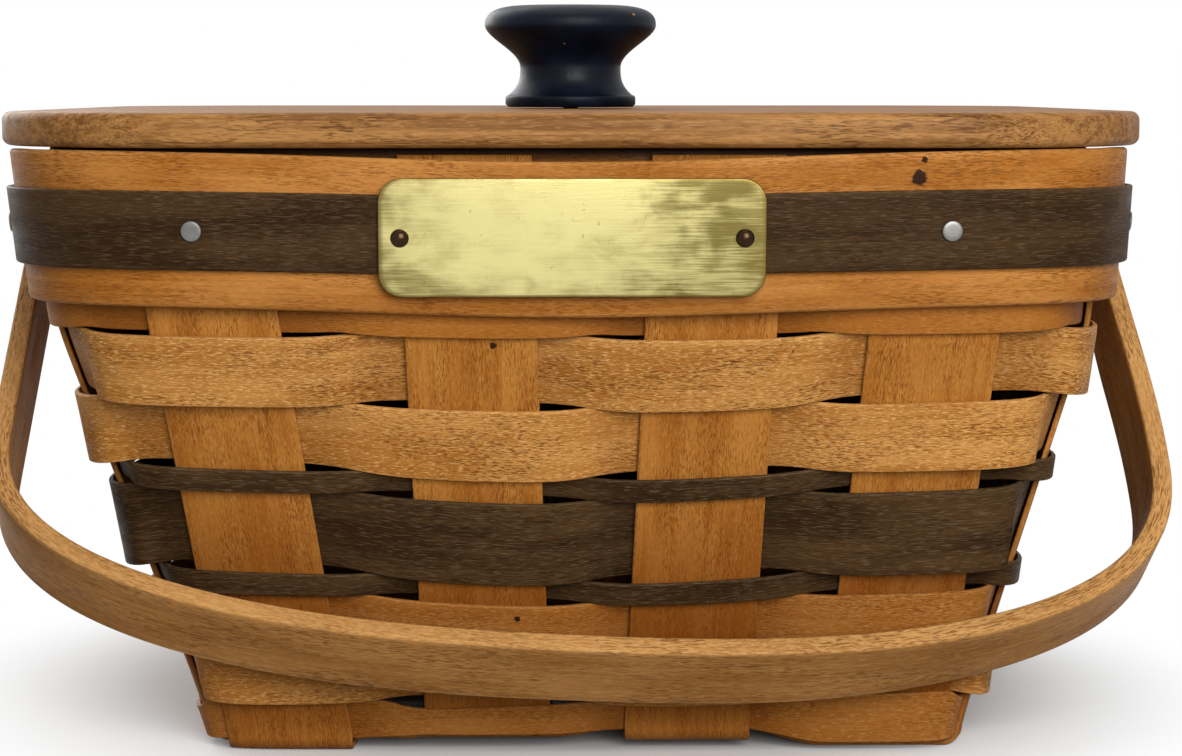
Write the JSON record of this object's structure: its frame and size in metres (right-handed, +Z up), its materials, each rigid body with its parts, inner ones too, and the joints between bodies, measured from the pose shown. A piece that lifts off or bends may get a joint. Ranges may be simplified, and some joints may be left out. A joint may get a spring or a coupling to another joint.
{
  "type": "lidded splint basket",
  "caption": "Square woven wood-splint basket with a flat wooden lid, a turned knob, a banded rim and a bent-wood handle that swings over it, for gathering and storing berries.",
  "frame": {"origin": "on the floor under the middle of the rim", "axes": "+Z up, front with the name plate towards -Y, handle pivots along X"},
  "size_m": [0.2351, 0.2201, 0.1467],
  "materials": {
    "honey_maple": "honey-stained splint, satin",
    "walnut_stain": "dark brown stained splint, satin",
    "lid_maple": "stained board, satin",
    "navy_paint": "navy paint, satin",
    "aged_brass": "brushed, lightly tarnished",
    "pale_steel": "dull bright"
  },
  "bodies": {
    "basket": {"upright_front_to_back_1": "honey_maple", "upright_front_to_back_2": "honey_maple", "upright_front_to_back_3": "honey_maple", "upright_front_to_back_4": "honey_maple", "upright_side_to_side_1": "honey_maple", "upright_side_to_side_2": "honey_maple", "upright_side_to_side_3": "honey_maple", "upright_side_to_side_4": "honey_maple", "weaver_row_01": "honey_maple", "weaver_row_02": "honey_maple", "weaver_row_03": "honey_maple", "weaver_row_04": "walnut_stain", "weaver_row_05": "walnut_stain", "weaver_row_06": "walnut_stain", "weaver_row_07": "honey_maple", "weaver_row_08": "honey_maple", "weaver_row_09": "honey_maple", "weaver_row_10": "honey_maple", "rim_band_inner": "honey_maple", "rim_band_outer": "honey_maple", "rim_trim_strip": "walnut_stain", "name_plate": "aged_brass", "plate_pin_left": "aged_brass", "plate_pin_right": "aged_brass", "rim_nail_front_left": "pale_steel", "rim_nail_front_right": "pale_steel", "rim_nail_right_left": "pale_steel", "rim_nail_right_right": "pale_steel", "rim_nail_back_left": "pale_steel", "rim_nail_back_right": "pale_steel", "rim_nail_left_left": "pale_steel", "rim_nail_left_right": "pale_steel", "handle_rivet_right": "aged_brass", "rivet_burr_right": "aged_brass", "handle_rivet_left": "aged_brass", "rivet_burr_left": "aged_brass"},
    "handle": {"handle": "honey_maple"},
    "lid": {"lid_board": "lid_maple", "lid_batten_left": "lid_maple", "lid_batten_right": "lid_maple", "lid_knob": "navy_paint", "knob_screw": "pale_steel"}
  },
  "joints": [
    {"name": "handle_swing", "type": "hinge", "parent": "basket", "child": "handle", "pos_m": [0, 0, 0.1023], "axis": [-1, 0, 0], "range_deg": [0, 259]},
    {"name": "lid_lift", "type": "slide", "parent": "basket", "child": "lid", "axis": [0, 0, 1], "range_m": [0, 0.12]}
  ]
}
